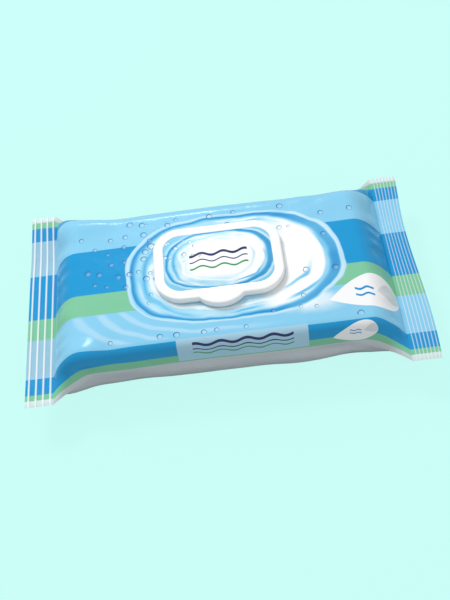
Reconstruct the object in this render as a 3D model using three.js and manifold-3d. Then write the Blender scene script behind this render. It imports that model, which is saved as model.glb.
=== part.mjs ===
// A wet wipes pack lying flat: a printed film pouch crimped shut at both ends, the stack of moist
// wipes in it, and a white flip-top lid over the dispensing hole.
// Units are millimetres. X runs along the pack, -Y is the front with the lid's thumb tab, +Z is up.
// The origin is on the surface that the pack lies on, under the middle of its outline.
import * as THREE from 'three';
import { mergeVertices } from 'three/addons/utils/BufferGeometryUtils.js';
import Module from 'manifold-3d';

const wasm = await Module();
wasm.setup();

// Film pouch
const packLength = 240; // over both end seals
const bodyHeight = 43; // from the surface it lies on to its flat top
const topWidth = 104; // across the top, measured to where its rounded edges would meet
const bottomWidth = 112; // the same across the underside
const topEdgeRadius = 6;
const bottomEdgeRadius = 20;
const sealWidth = 16.5; // crimped band at each end
const sealThickness = 0.8;
const filmThickness = 0.5;
const cavityStart = 1; // from a seal to where the two layers of film part
const partingHeight = 0.2; // of the cavity at its very ends
const creaseMargin = 2; // between the cavity's edge and the end of a seal, where the layers part
const shoulderLength = 14; // from a seal to where the middle of the top is level
const cornerLength = 24; // the same along the creases at the sides
const holeLength = 46; // die-cut hole that the wipes are taken through
const holeWidth = 20;
const holeRadius = 9.5;

// Wipe stack
const stackEndGap = 10.5; // from the seal to the stack's end, where the film slopes down
const stackClearance = 0.5; // all round, to the film
const stackStart = 3; // from a seal to where the stack's sloping end would come to a point
const stackMargin = 8; // between the stack's edge and the end of a seal

// Lid and its base, in heights above the film
const lidWidth = 76;
const lidDepth = 52.6;
const lidCornerRadius = 15;
const lidBow = 0.8; // how far each side bulges out at its middle
const bowSharpness = 8; // high, so that a side's bulge leaves the sides next to it alone
const lidSetBack = 3.2; // the lid's middle lies this far behind the pack's
const lidHeight = 5;
const lidPlate = 1.2;
const lidWall = 1.2;
const lidEdgeRadius = 1;
const lidFloat = 0.5; // under the skirt, clear of the film
const tabWidth = 26;
const tabReach = 5.5;
const flangeThickness = 1;
const flangeInset = 2.2; // from the lid's outline, at the sides and the front
const flangeBackInset = 2.6; // more at the back, where the skirt swings down
const apertureLength = 56;
const apertureWidth = 28;
const apertureRadius = 10;
const rimWall = 2;
const rimGap = 0.6; // between the top of the rim and the lid's plate
const ringWall = 1; // sealing ring inside the lid, round the rim
const ringClearance = 0.4;
const ringFloat = 0.6; // above the flange
const catchLength = 24; // catch lip on the base and bead in the lid
const catchWall = 1;
const catchGap = 0.8; // between the top of the lip and the lid's plate
const catchClearance = 0.15; // between the lip and the bead as they pass
const lipReach = 0.45;
const lipHeight = 0.8;
const beadReach = 0.4;
const beadHeight = 0.6;
const beadDrop = 0.4; // from the lip down to the bead

// Living hinge
const hingeLength = 30;
const hingeAxisDrop = 2.5; // below the lid's top
const hingeWeb = 0.4;
const hingeInnerRadius = 0.5;
const hingeLeg = 0.3; // straight end of the web at the base and at the lid
const hingeLandCover = 0.2; // of the land above the web's leg
const notchClearance = 0.5; // round the hinge land, in the lid's skirt

// Label
const labelInset = 5.8; // white border between the lid's outline and the label
const labelThickness = 0.2;
const labelRecess = 0.3;

const sealInner = packLength / 2 - sealWidth;
const plateUnderside = lidHeight - lidPlate; // heights above the film
const rimHeight = plateUnderside - rimGap;
const catchHeight = plateUnderside - catchGap;
const beadTop = catchHeight - lipHeight - beadDrop;
const hingeAxisHeight = lidHeight - hingeAxisDrop;
const hingeLandHeight = hingeAxisHeight - hingeInnerRadius + hingeLandCover;
const cornerSteps = 8;
const arcSteps = 8;
const longestStep = 8; // between points along the film's straight walls
const overshoot = 1; // how far a cutter reaches past what it cuts
const mergeDistance = 1e-5;

function toSolid(geometry) {
  geometry.deleteAttribute('normal');
  geometry.deleteAttribute('uv');
  const merged = mergeVertices(geometry, mergeDistance);
  return new wasm.Manifold(new wasm.Mesh({
    numProp: 3,
    vertProperties: new Float32Array(merged.attributes.position.array),
    triVerts: new Uint32Array(merged.index.array),
  }));
}

function toGeometry(solid) {
  const { vertProperties, triVerts } = solid.getMesh();
  const geometry = new THREE.BufferGeometry();
  geometry.setAttribute('position', new THREE.BufferAttribute(vertProperties, 3));
  geometry.setIndex(new THREE.BufferAttribute(triVerts, 1));
  geometry.computeVertexNormals();
  return geometry;
}

// Corner points of a convex outline, each rounded by an arc of its own radius
function roundedOutline(corners, radii, steps) {
  return corners.flatMap((corner, k) => {
    const before = corners[(k + corners.length - 1) % corners.length].clone().sub(corner).normalize();
    const after = corners[(k + 1) % corners.length].clone().sub(corner).normalize();
    const halfAngle = Math.acos(before.dot(after)) / 2;
    const centre = before.clone().add(after).normalize()
      .multiplyScalar(radii[k] / Math.sin(halfAngle)).add(corner);
    const tangent = radii[k] / Math.tan(halfAngle);
    const first = before.clone().multiplyScalar(tangent).add(corner).sub(centre).angle();
    const last = after.clone().multiplyScalar(tangent).add(corner).sub(centre).angle();
    const turn = THREE.MathUtils.euclideanModulo(last - first + Math.PI, 2 * Math.PI) - Math.PI;
    return Array.from({ length: steps + 1 }, (_, n) => new THREE.Vector2(radii[k], 0)
      .rotateAround(new THREE.Vector2(), first + (turn * n) / steps).add(centre));
  });
}

function roundedRectangle(length, width, radius) {
  const corners = [[1, 1], [-1, 1], [-1, -1], [1, -1]]
    .map(([x, y]) => new THREE.Vector2((x * length) / 2, (y * width) / 2));
  return roundedOutline(corners, Array(4).fill(radius), arcSteps);
}

// Film pouch and wipe stack: one lofted form at three depths below the film's outer face

// The section at full height, a distance inside the film's outer face, from the middle of the top
// round the front to the middle of the underside
function halfSection(inset) {
  const lean = (bottomWidth - topWidth) / 2 / bodyHeight;
  const across = inset * Math.hypot(1, lean);
  const top = topWidth / 2 - across + inset * lean;
  const bottom = bottomWidth / 2 - across - inset * lean;
  const corners = [[top, bodyHeight - inset], [-top, bodyHeight - inset], [-bottom, inset], [bottom, inset]]
    .map(([y, z]) => new THREE.Vector2(y, z));
  const radii = [topEdgeRadius, topEdgeRadius, bottomEdgeRadius, bottomEdgeRadius].map((r) => r - inset);
  const rounded = roundedOutline(corners, radii, arcSteps);
  const frontArcs = rounded.slice(arcSteps + 1, 3 * (arcSteps + 1));
  return [new THREE.Vector2(0, bodyHeight - inset), ...frontArcs, new THREE.Vector2(0, inset)];
}

// The same line with points added so that no step is longer than the longest one
function subdivided(points) {
  return points.flatMap((point, k) => {
    if (k === 0) return [point];
    const pieces = Math.ceil(point.distanceTo(points[k - 1]) / longestStep);
    return Array.from({ length: pieces }, (_, n) => points[k - 1].clone().lerp(point, (n + 1) / pieces));
  });
}

// Points round one girth, each with its share of the quarter girth: 0 is the middle of the top or
// underside, 1 is the side crease that runs on into the seal. Side is 1 above the crease, -1 below.
function girthPoints(inset) {
  const half = subdivided(halfSection(inset));
  const along = [0];
  for (let k = 1; k < half.length; k += 1) along.push(along[k - 1] + half[k].distanceTo(half[k - 1]));
  const quarter = along[along.length - 1] / 2;
  const past = along.findIndex((distance) => distance > quarter);
  const crease = half[past - 1].clone()
    .lerp(half[past], (quarter - along[past - 1]) / (along[past] - along[past - 1]));
  const place = (point, share, side) => ({ y: point.x, z: point.y, share, side });
  const stops = half.map((point, k) => place(point, 1 - Math.abs(along[k] / quarter - 1), k < past ? 1 : -1));
  const front = [
    ...stops.slice(0, past - 1), place(crease, 1, 0), ...stops.slice(past + 1),
  ];
  const back = front.slice(1, -1).reverse().map((stop) => ({ ...stop, y: -stop.y }));
  return { ring: [...front, ...back], creaseHeight: crease.y, sealLength: 2 * quarter };
}

const outerGirth = girthPoints(0);
const sealHeight = outerGirth.creaseHeight;
const sealLength = outerGirth.sealLength;

// One ring of the loft at a distance inside the seal's inner edge. From its start the form opens
// out of a flat sheet into the full section, sooner in the middle than along the creases.
function ringAt(girth, x, distance, { start, flatLength, flatThickness }) {
  return girth.ring.map(({ y, z, share, side }) => {
    const full = THREE.MathUtils.lerp(shoulderLength, cornerLength, share ** 3);
    const open = Math.sin((Math.PI / 2) * THREE.MathUtils.clamp((distance - start) / (full - start), 0, 1));
    const flatY = (Math.sign(y) * share * flatLength) / 2;
    const flatZ = sealHeight + (side * flatThickness) / 2;
    return new THREE.Vector3(x, THREE.MathUtils.lerp(flatY, y, open), THREE.MathUtils.lerp(flatZ, z, open));
  });
}

function loft(rings) {
  const count = rings[0].length;
  const positions = rings.flatMap((ring) => ring.flatMap((p) => [p.x, p.y, p.z]));
  const indices = [];
  for (let r = 0; r < rings.length - 1; r += 1) {
    for (let k = 0; k < count; k += 1) {
      const a = r * count + k;
      const b = r * count + ((k + 1) % count);
      indices.push(a, b, b + count, a, b + count, a + count);
    }
  }
  const last = (rings.length - 1) * count;
  for (let k = 1; k < count - 1; k += 1) {
    indices.push(0, k + 1, k);
    indices.push(last, last + k, last + k + 1);
  }
  const geometry = new THREE.BufferGeometry();
  geometry.setAttribute('position', new THREE.Float32BufferAttribute(positions, 3));
  geometry.setIndex(indices);
  return geometry;
}

// Distances inside the seal at which the opening film gets a ring, closer together near the seal
function ringDistances(first) {
  const steps = Array.from({ length: cornerSteps + 1 }, (_, k) => cornerLength * (k / cornerSteps) ** 1.5);
  return [first, ...steps.filter((distance) => distance > first + filmThickness)];
}

function pouchForm({ inset, start, first, flatLength, flatThickness, withSeals }) {
  const girth = girthPoints(inset);
  const flat = { start, flatLength, flatThickness };
  const left = ringDistances(first).map((distance) => ringAt(girth, distance - sealInner, distance, flat));
  const right = ringDistances(first).map((distance) => ringAt(girth, sealInner - distance, distance, flat));
  const rings = [...left, ...right.reverse()];
  if (withSeals) {
    rings.unshift(ringAt(girth, -packLength / 2, 0, flat));
    rings.push(ringAt(girth, packLength / 2, 0, flat));
  }
  return loft(rings);
}

function slab(outline, low, high) {
  const shape = new THREE.Shape(outline);
  const geometry = new THREE.ExtrudeGeometry(shape, { depth: high - low, bevelEnabled: false });
  geometry.translate(0, 0, low);
  return toSolid(geometry);
}

function makeFilmPouch() {
  const outside = toSolid(pouchForm({
    inset: 0, start: 0, first: 0, flatLength: sealLength, flatThickness: sealThickness, withSeals: true,
  }));
  const inside = toSolid(pouchForm({
    inset: filmThickness,
    start: cavityStart,
    first: cavityStart,
    flatLength: sealLength - 2 * creaseMargin,
    flatThickness: partingHeight,
    withSeals: false,
  }));
  const holeOutline = roundedRectangle(holeLength, holeWidth, holeRadius)
    .map((point) => point.add(new THREE.Vector2(0, lidSetBack)));
  const hole = slab(holeOutline, bodyHeight - filmThickness - overshoot, bodyHeight + overshoot);
  return outside.subtract(inside).subtract(hole);
}

function makeWipeStack() {
  return toSolid(pouchForm({
    inset: filmThickness + stackClearance,
    start: stackStart,
    first: stackEndGap,
    flatLength: sealLength - 2 * stackMargin,
    flatThickness: partingHeight,
    withSeals: false,
  }));
}

// Lid base and lid, with the origin on the film under the lid's middle

const backEdge = lidDepth / 2 + lidBow; // the lid's back face, which the hinge web meets
const skirtInside = -lidDepth / 2 - lidBow + lidWall; // the front wall's inner face
const catchFront = skirtInside + beadReach + catchClearance + lipReach;

// The lid's outline, set in by a distance, with gently bulging sides
function lidOutline(inset) {
  const halfWidth = lidWidth / 2 - inset;
  const halfDepth = lidDepth / 2 - inset;
  const rounded = roundedRectangle(2 * halfWidth, 2 * halfDepth, lidCornerRadius - inset);
  const sideSteps = [-0.6, -0.3, 0, 0.3, 0.6]; // shares of the straight stretch of a side
  const middles = [
    sideSteps.map((t) => new THREE.Vector2(-t * (halfWidth - lidCornerRadius + inset), halfDepth)),
    sideSteps.map((t) => new THREE.Vector2(-halfWidth, -t * (halfDepth - lidCornerRadius + inset))),
    sideSteps.map((t) => new THREE.Vector2(t * (halfWidth - lidCornerRadius + inset), -halfDepth)),
    sideSteps.map((t) => new THREE.Vector2(halfWidth, t * (halfDepth - lidCornerRadius + inset))),
  ];
  const outline = middles.flatMap((middle, k) => [
    ...rounded.slice(k * (arcSteps + 1), (k + 1) * (arcSteps + 1)), ...middle,
  ]);
  const bulge = (across, along) => Math.sign(across) * lidBow
    * (1 - along ** 2) * Math.abs(across) ** bowSharpness;
  return outline.map((p) => new THREE.Vector2(
    p.x + bulge(p.x / halfWidth, p.y / halfDepth),
    p.y + bulge(p.y / halfDepth, p.x / halfWidth),
  ));
}

// The thumb tab is part of a round disc that sticks out at the front
function tabOutline(inset) {
  const radius = (tabWidth ** 2 / 4 + tabReach ** 2) / (2 * tabReach);
  const centreY = -lidDepth / 2 - lidBow - tabReach + radius;
  const steps = 6 * arcSteps;
  return Array.from({ length: steps }, (_, k) => new THREE.Vector2(radius - inset, 0)
    .rotateAround(new THREE.Vector2(), (2 * Math.PI * k) / steps)
    .add(new THREE.Vector2(0, centreY)));
}

function roundedTopSlab(outline, low, high, radius) {
  const geometry = new THREE.ExtrudeGeometry(new THREE.Shape(outline), {
    depth: high - low - radius + overshoot, bevelSize: radius, bevelThickness: radius, bevelOffset: -radius,
    bevelSegments: 3,
  });
  geometry.translate(0, 0, low - overshoot);
  const below = new THREE.BoxGeometry(2 * lidWidth, 2 * lidWidth, 2 * lidHeight);
  below.translate(0, 0, low - lidHeight);
  return toSolid(geometry).subtract(toSolid(below));
}

function block(width, depth, low, high, middleY) {
  const geometry = new THREE.BoxGeometry(width, depth, high - low);
  geometry.translate(0, middleY, (low + high) / 2);
  return toSolid(geometry);
}

function rimOutline(grow) {
  return roundedRectangle(apertureLength + 2 * grow, apertureWidth + 2 * grow, apertureRadius + grow);
}

function makeLidBase() {
  const behind = block(
    2 * lidWidth, lidDepth, -overshoot, lidHeight, backEdge - flangeBackInset + lidDepth / 2,
  );
  const flange = slab(lidOutline(flangeInset), 0, flangeThickness).subtract(behind);
  const land = block(
    hingeLength, flangeBackInset + overshoot, 0, hingeLandHeight,
    backEdge - (flangeBackInset + overshoot) / 2,
  );
  const rim = slab(rimOutline(rimWall), 0, rimHeight);
  const catchBar = block(catchLength, catchWall, 0, catchHeight, catchFront + catchWall / 2);
  const lip = block(
    catchLength, catchWall + lipReach, catchHeight - lipHeight, catchHeight,
    catchFront + (catchWall - lipReach) / 2,
  );
  const aperture = slab(rimOutline(0), -overshoot, lidHeight);
  return flange.add(land).add(rim).add(catchBar).add(lip).subtract(aperture);
}

function makeFlipLid() {
  const shell = roundedTopSlab(lidOutline(0), lidFloat, lidHeight, lidEdgeRadius)
    .add(roundedTopSlab(tabOutline(0), lidFloat, lidHeight, lidEdgeRadius));
  const tabHollow = slab(tabOutline(lidWall), -overshoot, plateUnderside)
    .subtract(slab(lidOutline(0), -2 * overshoot, lidHeight));
  const pocket = slab(lidOutline(lidWall), -overshoot, plateUnderside).add(tabHollow);
  const notch = block(
    hingeLength + 2 * notchClearance, 4 * lidWall, -overshoot, hingeLandHeight + notchClearance, backEdge,
  );
  const recess = slab(lidOutline(labelInset), lidHeight - labelRecess, lidHeight + overshoot);
  const ringTop = plateUnderside + lidPlate / 4;
  const ring = slab(rimOutline(rimWall + ringClearance + ringWall), flangeThickness + ringFloat, ringTop)
    .subtract(slab(rimOutline(rimWall + ringClearance), 0, lidHeight));
  const bead = block(
    catchLength, lidWall / 2 + beadReach, beadTop - beadHeight, beadTop,
    skirtInside + (beadReach - lidWall / 2) / 2,
  );
  return shell.subtract(pocket).subtract(notch).subtract(recess).add(ring).add(bead);
}

function makeLabel() {
  const low = lidHeight - labelRecess;
  return slab(lidOutline(labelInset), low, low + labelThickness);
}

// The web bends round the hinge axis from the land on the base to the back face of the lid
function makeLivingHinge() {
  const outer = hingeInnerRadius + hingeWeb;
  const profile = new THREE.Shape();
  profile.moveTo(-hingeLeg, -outer);
  profile.absarc(0, 0, outer, -Math.PI / 2, Math.PI / 2, false);
  profile.lineTo(-hingeLeg, outer);
  profile.lineTo(-hingeLeg, hingeInnerRadius);
  profile.absarc(0, 0, hingeInnerRadius, Math.PI / 2, -Math.PI / 2, true);
  profile.lineTo(-hingeLeg, -hingeInnerRadius);
  const geometry = new THREE.ExtrudeGeometry(profile, {
    depth: hingeLength, bevelEnabled: false, curveSegments: 2 * arcSteps,
  });
  geometry.translate(0, 0, -hingeLength / 2);
  return toSolid(geometry);
}

function plastic(name, color, roughness) {
  return new THREE.MeshStandardMaterial({ name, color, roughness, metalness: 0 });
}

const printedFilm = plastic('printed_film', 0x8fd2f2, 0.3);
const moistFabric = plastic('moist_fabric', 0xf4f5f2, 0.85);
const whitePlastic = plastic('white_plastic', 0xf6f6f4, 0.35);
const labelFilm = plastic('label_film', 0xcfe9f6, 0.3);

function namedMesh(name, solid, material) {
  const mesh = new THREE.Mesh(toGeometry(solid), material);
  mesh.name = name;
  return mesh;
}

const pack = new THREE.Group();
pack.add(namedMesh('film_pouch', makeFilmPouch(), printedFilm));
pack.add(namedMesh('wipe_stack', makeWipeStack(), moistFabric));

const onFilm = new THREE.Group();
onFilm.position.set(0, lidSetBack, bodyHeight);
onFilm.add(namedMesh('lid_base', makeLidBase(), whitePlastic));
onFilm.add(namedMesh('flip_lid', makeFlipLid(), whitePlastic));
onFilm.add(namedMesh('lid_label', makeLabel(), labelFilm));

const livingHinge = namedMesh('living_hinge', makeLivingHinge(), whitePlastic);
livingHinge.rotation.set(Math.PI / 2, Math.PI / 2, 0);
livingHinge.position.set(0, backEdge + hingeLeg, hingeAxisHeight);
onFilm.add(livingHinge);
pack.add(onFilm);

export default pack;
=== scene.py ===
# %% [markdown]
# # A wet wipes pack, made step by step
# The pack is a tube of printed film, crimped shut at both ends round a stack of moist wipes.
# A white flip-top lid is glued over the hole that the wipes are pulled through.
# The frame gives the size and place of each piece, so nothing here is fitted by eye.
#
# ## Load the frame
# Bounds are read at once, while nothing else is in the scene.

# %% Load the frame
import math

import bmesh
import bpy
import numpy as np
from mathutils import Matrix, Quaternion, Vector


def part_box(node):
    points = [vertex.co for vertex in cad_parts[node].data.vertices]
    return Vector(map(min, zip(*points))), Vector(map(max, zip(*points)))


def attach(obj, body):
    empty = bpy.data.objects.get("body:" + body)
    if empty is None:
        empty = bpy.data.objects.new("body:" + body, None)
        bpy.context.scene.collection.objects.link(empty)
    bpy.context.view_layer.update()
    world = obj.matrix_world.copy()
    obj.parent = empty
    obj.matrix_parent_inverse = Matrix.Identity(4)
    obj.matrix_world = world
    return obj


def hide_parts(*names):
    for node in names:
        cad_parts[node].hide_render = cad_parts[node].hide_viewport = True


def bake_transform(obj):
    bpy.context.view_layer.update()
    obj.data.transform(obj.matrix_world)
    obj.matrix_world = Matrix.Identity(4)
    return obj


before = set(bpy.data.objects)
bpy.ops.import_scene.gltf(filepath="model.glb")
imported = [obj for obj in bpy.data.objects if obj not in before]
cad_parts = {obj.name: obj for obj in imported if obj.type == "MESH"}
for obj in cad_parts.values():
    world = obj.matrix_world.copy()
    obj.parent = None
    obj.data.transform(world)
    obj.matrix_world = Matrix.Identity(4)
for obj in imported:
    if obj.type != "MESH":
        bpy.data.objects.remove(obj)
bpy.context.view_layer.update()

# %% [markdown]
# ## Sizes
# The script works in metres, and every size below is written in millimetres times MM.
# X runs along the pack, -Y is the front with the thumb tab, and +Z is up.
# The outer sizes are read from the frame, so that they follow it.

# %% Driving sizes
MM = 0.001
pouch_low, pouch_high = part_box("film_pouch")
lid_low, lid_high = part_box("flip_lid")
pack_length = pouch_high.x - pouch_low.x
seal_length = pouch_high.y - pouch_low.y  # half the girth of the film tube
body_height = pouch_high.z - pouch_low.z
seal_width = 16.5 * MM
seal_inner = pack_length / 2 - seal_width
seal_height = 23.8 * MM  # the seals lie half way up the sides
seal_thickness = 0.8 * MM
film_thickness = 0.3 * MM
top_width = 104 * MM
bottom_width = 112 * MM
front_edge_radius = 6 * MM
back_edge_radius = 9 * MM
bottom_edge_radius = 20 * MM
lid_middle = 3.2 * MM  # the lid sits a little behind the middle of the pack
pouch_size = (pack_length, seal_length, body_height)
print("pouch", " x ".join(str(round(side / MM, 1)) for side in pouch_size), "mm")

# %% [markdown]
# ## Camera
# The pack is seen from the front and from above, turned a little anticlockwise in the picture.
# A camera could be placed by eye, but here it is worked out from a target point, a distance and
# three angles, because those are the numbers that a fit to the photograph gives.

# %% Place the camera
camera_target = Vector((0, 0, 23.8 * MM))
camera_distance = 558.7 * MM
camera_elevation = math.radians(53.48)
camera_azimuth = math.radians(-1.74)
camera_roll = math.radians(-8.46)
focal_length = 54.42  # mm
sensor_size = 36  # mm
picture_height = 600  # pixels
target_right_of_middle = -3.25  # pixels
target_below_middle = -13.64


def place_camera():
    """A camera that looks at the target from the fitted direction, rolled about its own axis."""
    camera = bpy.data.objects.new("camera", bpy.data.cameras.new("camera"))
    bpy.context.scene.collection.objects.link(camera)
    looking = Vector((
        math.sin(camera_azimuth) * math.cos(camera_elevation),
        math.cos(camera_azimuth) * math.cos(camera_elevation),
        -math.sin(camera_elevation),
    ))
    camera.location = camera_target - looking * camera_distance
    level = looking.to_track_quat("-Z", "Y")
    camera.rotation_mode = "QUATERNION"
    camera.rotation_quaternion = level @ Quaternion((0, 0, 1), camera_roll)
    camera.data.lens = focal_length
    camera.data.sensor_width = sensor_size
    camera.data.shift_x = -target_right_of_middle / picture_height
    camera.data.shift_y = target_below_middle / picture_height
    camera.data.clip_start = 0.01
    camera.data.clip_end = 20
    return camera


bpy.context.scene.camera = place_camera()
print("camera at", [round(value / MM) for value in bpy.context.scene.camera.location], "mm")

# %% [markdown]
# ## Colours
# Colours are written as they are read off a screen, as six hexadecimal digits. A shader works
# with linear values, so each is turned into those first.

# %% Colours by their written values


def ink(written):
    """A colour written as six hexadecimal digits, as the linear values that a shader takes."""
    parts = [int(written[k:k + 2], 16) / 255 for k in (0, 2, 4)]
    linear = [p / 12.92 if p <= 0.04045 else ((p + 0.055) / 1.055) ** 2.4 for p in parts]
    return (*linear, 1.0)


mint = ink("CAFEF7")
print("the ground's mint in linear values is", [round(value, 3) for value in mint[:3]])

# %% [markdown]
# ## Sums made of nodes
# A material here is a sum on the place of each point, written as nodes.
# Dragging a hundred Math nodes by hand in the shader editor gives the same result, but a sum
# is easier to read. An Output can be added and multiplied like a number, and each sum adds the
# node that works it out.

# %% Sums made of nodes


class Output:
    """A node's output, which takes part in sums as a number does."""

    def __init__(self, tree, socket):
        self.tree = tree
        self.socket = socket

    def __add__(self, other):
        return calc("ADD", self, other)

    def __sub__(self, other):
        return calc("SUBTRACT", self, other)

    def __rsub__(self, other):
        return calc("SUBTRACT", other, self)

    def __mul__(self, other):
        return calc("MULTIPLY", self, other)

    def __truediv__(self, other):
        return calc("DIVIDE", self, other)

    def __pow__(self, other):
        return calc("POWER", self, other)

    def __abs__(self):
        return calc("ABSOLUTE", self)


def wire(tree, socket, value):
    """Puts a plain value, or another node's output, into a socket."""
    if isinstance(value, Output):
        value = value.socket
    if isinstance(value, bpy.types.NodeSocket):
        tree.links.new(value, socket)
    else:
        socket.default_value = value


def calc(operation, *values):
    """One Math node. At least one of its values is another node's output."""
    tree = next(value.tree for value in values if isinstance(value, Output))
    node = tree.nodes.new("ShaderNodeMath")
    node.operation = operation
    for socket, value in zip(node.inputs, values):
        wire(tree, socket, value)
    return Output(tree, node.outputs[0])


# %% [markdown]
# ## Helpers for materials made of nodes
# The helpers below make one node each, so that a material reads like a recipe.
# The soft step is used most: it turns a distance into a share from 0 to 1, and a share mixes
# two colours.

# %% Helpers for materials made of nodes


def ramp(value, low, high, at_low=0.0, at_high=1.0):
    """A soft step from one value to another as the input goes from low to high."""
    node = value.tree.nodes.new("ShaderNodeMapRange")
    node.interpolation_type = "SMOOTHSTEP"
    for socket, number in zip(node.inputs, (value, low, high, at_low, at_high)):
        wire(value.tree, socket, number)
    return Output(value.tree, node.outputs[0])


def mix(share, first, second):
    """The first colour where the share is 0 and the second where it is 1."""
    node = share.tree.nodes.new("ShaderNodeMix")
    node.data_type = "RGBA"
    for index, value in ((0, share), (6, first), (7, second)):
        wire(share.tree, node.inputs[index], value)
    return Output(share.tree, node.outputs[2])


def noise(place, scale, detail=2.0, roughness=0.5):
    """Cloudy noise, as a number from 0 to 1."""
    node = place.tree.nodes.new("ShaderNodeTexNoise")
    wire(place.tree, node.inputs["Vector"], place)
    node.inputs["Scale"].default_value = scale
    node.inputs["Detail"].default_value = detail
    node.inputs["Roughness"].default_value = roughness
    return Output(place.tree, node.outputs["Fac"])


def bump(height, distance, strength):
    """Small relief from a height, for the shader's normal."""
    node = height.tree.nodes.new("ShaderNodeBump")
    node.inputs["Strength"].default_value = strength
    node.inputs["Distance"].default_value = distance
    wire(height.tree, node.inputs["Height"], height)
    return Output(height.tree, node.outputs[0])


def split(place):
    """The three parts of a place."""
    node = place.tree.nodes.new("ShaderNodeSeparateXYZ")
    wire(place.tree, node.inputs[0], place)
    return [Output(place.tree, part) for part in node.outputs]


def object_place(tree):
    """The point on the piece, in metres from the frame's origin."""
    return Output(tree, tree.nodes.new("ShaderNodeTexCoord").outputs["Object"])


def new_finish(name, roughness):
    """A material with a plain plastic shader, its tree of nodes and the shader itself."""
    material = bpy.data.materials.new(name)
    material.use_nodes = True
    shader = material.node_tree.nodes["Principled BSDF"]
    shader.inputs["Roughness"].default_value = roughness
    return material, material.node_tree, shader


# %% [markdown]
# ## Floor and world
# The ground is a plain pale mint with no edge in sight. Most of its colour is its own, shown
# straight to the camera, and the rest is lit, so that the pack keeps a faint shadow on it.
# Only the camera sees the mint. Light that falls from the floor on the pack is nearly grey,
# because in the photo the white and the blue of the pack stay free of mint.
# The world is plain white light, shown to the camera as mint.

# %% Floor and world
floor_size = 6.0  # metres
floor_drop = 0.02 * MM  # below the pack's underside, so that the two don't share a plane
floor_roughness = 0.9
floor_own_light = 0.92  # share of the floor's colour that the camera sees without any lamp
floor_bounce = (0.42, 0.5, 0.5, 1)  # what the floor sends back to the pack
world_strength = 0.47


def seen_directly(tree):
    """1 for rays from the camera or through something clear, and 0 for light on surfaces."""
    path = tree.nodes.new("ShaderNodeLightPath")
    from_camera = Output(tree, path.outputs["Is Camera Ray"])
    return calc("MAXIMUM", from_camera, path.outputs["Is Transmission Ray"])


def blend_shaders(tree, share, first, second, result):
    """The first shader where the share is 0 and the second where it is 1, as the tree's result."""
    blend = tree.nodes.new("ShaderNodeMixShader")
    for socket, value in zip(blend.inputs, (share, first.outputs[0], second.outputs[0])):
        wire(tree, socket, value)
    wire(tree, tree.nodes[result].inputs["Surface"], blend.outputs[0])


def lay_floor():
    """A wide mint floor just under the pack."""
    bpy.ops.object.select_all(action="DESELECT")
    bpy.ops.mesh.primitive_plane_add(size=floor_size, location=(0, 0, -floor_drop))
    floor = bpy.context.active_object
    floor.name = "floor"
    material, tree, shader = new_finish("mint_floor", floor_roughness)
    wire(tree, shader.inputs["Base Color"], mix(seen_directly(tree), floor_bounce, mint))
    glow = tree.nodes.new("ShaderNodeEmission")
    glow.inputs["Color"].default_value = mint
    blend_shaders(tree, seen_directly(tree) * floor_own_light, shader, glow, "Material Output")
    floor.data.materials.append(material)
    return floor


def light_the_world():
    """Even white light from all round, shown to the camera as mint."""
    world = bpy.data.worlds.new("studio")
    bpy.context.scene.world = world
    world.use_nodes = True
    tree = world.node_tree
    even = tree.nodes["Background"]
    even.inputs["Color"].default_value = (1, 1, 1, 1)
    even.inputs["Strength"].default_value = world_strength
    shown = tree.nodes.new("ShaderNodeBackground")
    shown.inputs["Color"].default_value = mint
    shown.inputs["Strength"].default_value = 1
    blend_shaders(tree, seen_directly(tree), even, shown, "World Output")


floor = lay_floor()
light_the_world()
bpy.context.scene.view_settings.view_transform = "Standard"
print("floor", floor_size, "m wide, world at", world_strength)

# %% [markdown]
# ## Lamps
# The lamp behind on the left is the main one, and it throws the shadow of the lid to the front
# right. It is hidden from the gloss, since its mirror image would wash out the print.
# A small lamp at the back is seen in the gloss alone and makes the soft glints on the film.

# %% Lamps
lamp_aim = Vector((0, 0, 30 * MM))


def hang_lamp(name, place, size, watts, mirrored):
    """A square soft lamp at a place, turned to the pack, seen or not seen in the gloss."""
    lamp = bpy.data.objects.new(name, bpy.data.lights.new(name, "AREA"))
    bpy.context.scene.collection.objects.link(lamp)
    lamp.data.shape = "SQUARE"
    lamp.data.size = size
    lamp.data.energy = watts
    lamp.location = place
    lamp.rotation_mode = "QUATERNION"
    lamp.rotation_quaternion = (lamp_aim - Vector(place)).to_track_quat("-Z", "Y")
    lamp.visible_glossy = mirrored
    return lamp


key_lamp = hang_lamp("key_lamp", (-0.45, 0.55, 1.0), 0.34, 8.7, False)
front_lamp = hang_lamp("front_lamp", (0.75, -0.9, 0.8), 0.8, 3.5, False)
glint_lamp = hang_lamp("glint_lamp", (-0.08, 1.02, 0.86), 0.2, 1.6, True)
print("lamps", [lamp.data.energy for lamp in (key_lamp, front_lamp, glint_lamp)], "watts")

# %% [markdown]
# ## The film tube's form
# On the real pack a flat tube of film is filled with a block of wipes and squeezed shut at
# both ends, so the film runs from a full rounded section to a flat seal.
# It could be a box with a subdivision surface, but then the print would slide off the film.
# Instead each ring of the loft is the same tube at another stage of opening, and each point
# keeps its distance round the tube, which later carries the print.

# %% Section of the full tube
quarter_steps = 44  # points along a quarter of the girth
arc_steps = 24


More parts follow.
